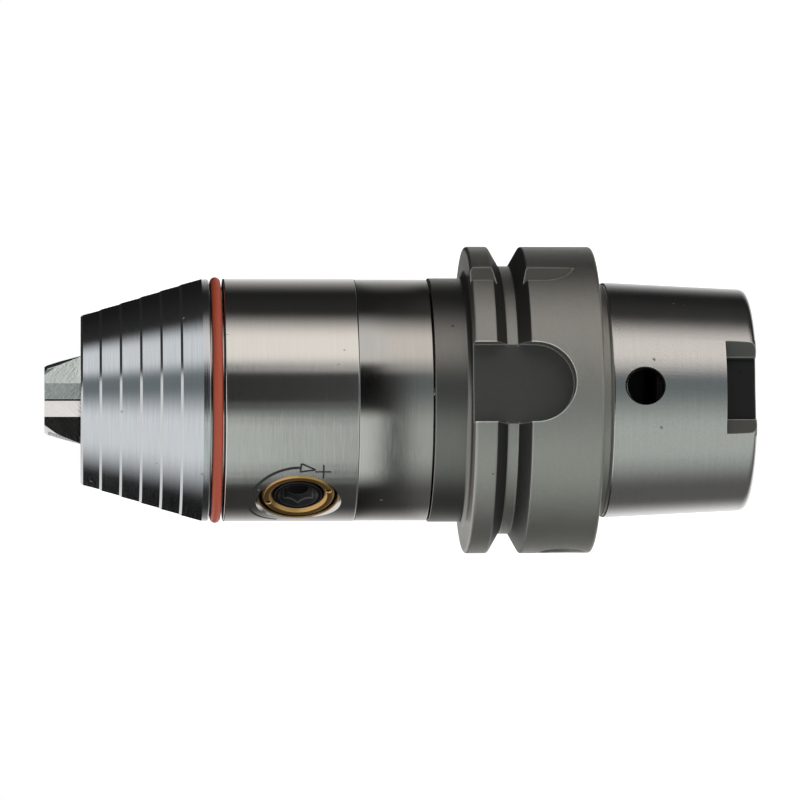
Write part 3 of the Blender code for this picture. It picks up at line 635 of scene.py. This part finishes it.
# ---- Key pinion, ring and bush ----------------------------------------------------------------
# The black pinion takes a hexagon key. A brass ring with two spanner holes keeps it in, and it
# turns in a brass bush.
port_frame = bore_line(PORT_TURN, PORT_LEVEL)
TEETH = 12
pinion = turn("pinion_body", soften([
    (0, 16), (3.6, 16), (4.4, 20.1), (6.05, 20.1), (6.05, 22.1), (4.9, 22.1), (4.9, 23.4),
    (0, 23.4),
], {1: 0.2, 3: 0.2, 6: 0.35}), port_frame, 96)
hexagon = round_points(3 / math.cos(math.pi / 6), 6, (0, 0), 30)
mouth = turn("socket_mouth", [(0, 21.6), (2.2, 21.6), (4.3, 23.7), (0, 23.7)], port_frame, 64)
mill(pinion, [extrude("socket", hexagon, 17.6, 24, port_frame), mouth])
break_edges(pinion, 0.08)
bm = bmesh.new()
for tooth in range(TEETH):
    middle = 360 / TEETH * tooth
    loops = []
    for radius, level, half in ((5.9, 17.9, 5.6), (7.15, 19.9, 5.2)):
        root = radius - 1.5
        loops.append([bm.verts.new((r * math.cos(math.radians(middle + a)),
                                    r * math.sin(math.radians(middle + a)), level))
                      for r, a in ((root, -9.0), (radius, -half), (radius, half), (root, 9.0))])
    for index in range(4):
        following = (index + 1) % 4
        bm.faces.new((loops[0][index], loops[0][following], loops[1][following],
                      loops[1][index]))
    for loop in loops:
        bm.faces.new(loop)
tooth_piece = piece_from(bm, "pinion_teeth", port_frame)
teeth_look = finish("pinion_black", (0.012, 0.012, 0.012), 0.3, metallic=0.85, lines=0.3, grain=0.4,
                    bump=0.08, wear_and_highlight=0.5, worn_and_lit=(0.2, 0.19, 0.2))
for piece in (pinion, tooth_piece):
    paint(piece, [teeth_look])
    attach(piece, "pinion")
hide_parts("key_pinion")

ring = turn("retaining_ring", soften([
    (5.2, 22.4), (7.45, 22.4), (7.45, 23.1), (6.95, 23.6), (5.85, 23.6), (5.2, 22.95),
], {2: 0.12, 3: 0.12, 4: 0.12, 5: 0.12}), port_frame, 128)
holes = []
for degrees in (19, 199):
    spot = Vector((math.cos(math.radians(degrees)), math.sin(math.radians(degrees)))) * 6.4
    holes.append(turn("spanner_hole", [(0, 22.7), (0.55, 22.7), (0.55, 23.45), (0.8, 23.75),
                                       (0, 23.75)],
                      port_frame @ Matrix.Translation((spot.x * MM, spot.y * MM, 0)), 32))
mill(ring, holes)
brass = finish("turned_brass", (0.62, 0.36, 0.13), 0.3, lines=0.35, pitch=11000, grain=0.2,
               bump=0.08, wear_and_highlight=1.0, worn_and_lit=(1.0, 0.8, 0.45), smudge=0.15, pits=0.3)
paint(ring, [brass])
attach(ring, "body")
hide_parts("pinion_retaining_ring")

# ---- Nose ---------------------------------------------------------------------------------------
# The cone is turned in six short lengths, each ending in a small ledge, with a narrow flat
# band at its front edge. It is polished more brightly than the sleeve.
LENGTHS, PITCH, DROP, LEAN, LEDGE = 6, 4.06, 1.267, 0.275, 0.5
CONE_START, CONE_RADIUS, FACE = 112.35, 24.6, 136.4
outline = [(21.6, 107.8), (22.7, 107.8), (22.7, 110.4), (24.75, 110.4),
           (24.75, CONE_START - LEDGE), (CONE_RADIUS, CONE_START)]
for step in range(LENGTHS):
    low = CONE_START + PITCH * step
    length = 3.3 if step == LENGTHS - 1 else PITCH - LEDGE
    radius = CONE_RADIUS - DROP * step
    outline += [(radius - LEAN * length, low + length), (radius - DROP, low + length + LEDGE)]
outline += [(16.7, FACE), (11.2, FACE), (11.0, FACE - 0.2), (12.0, 134.1), (15.7, 134.1),
            (21.6, 112.1)]
nose = turn("stepped_nose", soften(outline, {3: 0.3, 17: 0.2, 18: 0.15}), sides=256)
nose.data.set_sharp_from_angle(angle=math.radians(8))
paint(nose, [finish("turned_nose", (0.62, 0.63, 0.645), 0.15, lines=0.4, pitch=5200, grain=0.1,
                    bump=0.09, wear_and_highlight=0.7, smudge=0.1, streaky=0.1)])
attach(nose, "body")
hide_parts("nose_cone")

# ---- Red ring -----------------------------------------------------------------------------------
# A moulded rubber ring closes the joint between the sleeve and the nose.
seal = turn("moulded_ring", round_points(1.06, 24, (24.1, 109.04)), sides=192)
paint(seal, [finish("red_rubber", (0.38, 0.06, 0.025), 0.5, metallic=0.0, lines=0.15, pitch=3000,
                    grain=0.5, grain_scale=4200, bump=0.12, wear_and_highlight=0.2, worn_and_lit=(0.5, 0.14, 0.08),
                    pits=0.4, smudge=0.2)])
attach(seal, "body")
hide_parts("red_seal_ring")

# ---- Jaws -----------------------------------------------------------------------------------------
# Three hardened jaws slide at 20 degrees. Each has ground flats meeting at the axis, side
# faces that lean in towards a rounded back, and a small chamfer at its tip.


JAW_ROOT, JAW_TIP, JAW_SIDE, JAW_SLOPE = 124.3, 143.8, 2.0, 20
BACK_ROUND = 3.2


def shave(bm, point, normal):
    """Cut away what lies beyond a plane and close the cut."""
    every = bm.verts[:] + bm.edges[:] + bm.faces[:]
    cut = bmesh.ops.bisect_plane(bm, geom=every, plane_co=point, plane_no=normal,
                                 clear_outer=True)["geom_cut"]
    bmesh.ops.holes_fill(bm, edges=[item for item in cut if isinstance(item, bmesh.types.BMEdge)])


jaw_look = finish("ground_jaw", (0.78, 0.77, 0.755), 0.09, lines=0.3, pitch=2600, grain=0.35,
                  grain_scale=1800, bump=0.1, wear_and_highlight=0.5, pits=1.0, smudge=0.25, streaky=0.3)
flat_look = finish("scratched_flat", (0.40, 0.41, 0.405), 0.2, lines=0.5, pitch=1500, grain=0.9,
                   grain_scale=900, bump=0.15, wear_and_highlight=0.4, pits=1.0, smudge=0.3, streaky=0.6)
back_normal = Vector((math.cos(math.radians(JAW_SLOPE)), 0, math.sin(math.radians(JAW_SLOPE))))
for index, (degrees, body) in enumerate(((53, "jaw_a"), (-67, "jaw_b"), (173, "jaw_c"))):
    bm = bmesh.new()
    half = [(1.35, JAW_SIDE), (18.0, JAW_SIDE)]
    base = bm.faces.new([bm.verts.new((x, y, JAW_ROOT)) for x, y in
                         [(0.2, 0.0)] + [(x, -y) for x, y in half] + half[::-1]])
    lifted = bmesh.ops.extrude_face_region(bm, geom=[base])["geom"]
    bmesh.ops.translate(bm, vec=(0, 0, JAW_TIP - JAW_ROOT),
                        verts=[item for item in lifted if isinstance(item, bmesh.types.BMVert)])
    back_centre = Vector((7.6, 0, JAW_TIP)) - back_normal * BACK_ROUND
    for lean in (-14, -7, 0, 7, 14):
        tilt = math.radians(lean)
        normal = back_normal * math.cos(tilt) + Vector((0, math.sin(tilt), 0))
        shave(bm, back_centre + normal * BACK_ROUND, normal)
    for side in (-1, 1):
        for lean in (33, 50):
            tilt = math.radians(lean)
            shave(bm, Vector((7.45, 0.82 * side, JAW_TIP)),
                  back_normal * math.cos(tilt) + Vector((0, math.sin(tilt) * side, 0)))
    for side in (-1, 1):
        tilt = math.radians(20)
        shave(bm, Vector((5.1, JAW_SIDE * side, JAW_TIP)),
              Vector((math.sin(tilt), math.cos(tilt) * side, 0)))
    shave(bm, Vector((7.1, 0, JAW_TIP)), Vector((1, 0, 1)))
    jaw = piece_from(bm, f"ground_jaw_{index + 1}", spoke(degrees))
    foot = extrude("foot", [(-3.3, 119.5), (3.3, 119.5), (3.3, 121.3), (1.6, 121.3),
                            (1.6, 124.8), (-1.6, 124.8), (-1.6, 121.3), (-3.3, 121.3)],
                   2.5, 14.5, outward(degrees))
    mill(jaw, [foot], "UNION")
    jaw.data.shade_flat()
    flats = [spoke(degrees) @ Vector((0, side, 0)) for side in (-1, 1)]
    paint(jaw, [jaw_look, flat_look if index == 0 else jaw_look],
          lambda spot, normal: int(any(normal.dot(flat) > 0.995 for flat in flats)))
    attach(jaw, body)
    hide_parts(f"jaw_{index + 1}")

# ---- Inner works ------------------------------------------------------------------------------------
# Behind the nose: the jaw guide, the carrier on its spindle, the bevel ring gear and its
# bearing. They are turned, hardened and oiled; the seals are black rubber.
oiled = finish("oiled_steel", (0.36, 0.355, 0.345), 0.3, lines=0.4, pitch=4000, grain=0.3,
               bump=0.12, wear_and_highlight=0.5, smudge=0.2, streaky=0.2)
bearing_steel = finish("bearing_steel", (0.5, 0.5, 0.5), 0.18, lines=0.3, pitch=9000, grain=0.15,
                       bump=0.05, wear_and_highlight=0.4)
spring_black = finish("spring_black", (0.05, 0.048, 0.045), 0.4, metallic=0.7, lines=0.3,
                      grain=0.4, bump=0.1, wear_and_highlight=0.5, worn_and_lit=(0.25, 0.24, 0.23))
seal_black = finish("seal_rubber", (0.02, 0.02, 0.021), 0.55, metallic=0.0, lines=0.1, grain=0.5,
                    bump=0.15, wear_and_highlight=0.1, worn_and_lit=(0.06, 0.06, 0.06), pits=0.2)
for look, names in (
    (oiled, ("jaw_guide", "jaw_carrier", "clamping_spindle", "ring_gear")),
    (bearing_steel, ("thrust_washer_rear", "thrust_washer_front", "carrier_pin",
                     "torque_pin_1", "torque_pin_2", "torque_pin_3")),
    (brass, ("ball_cage", "pinion_bush")),
    (spring_black, ("gear_retaining_ring",)),
    (seal_black, ("housing_seal_ring",)),
):
    for name in names:
        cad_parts[name].data.materials[0] = look
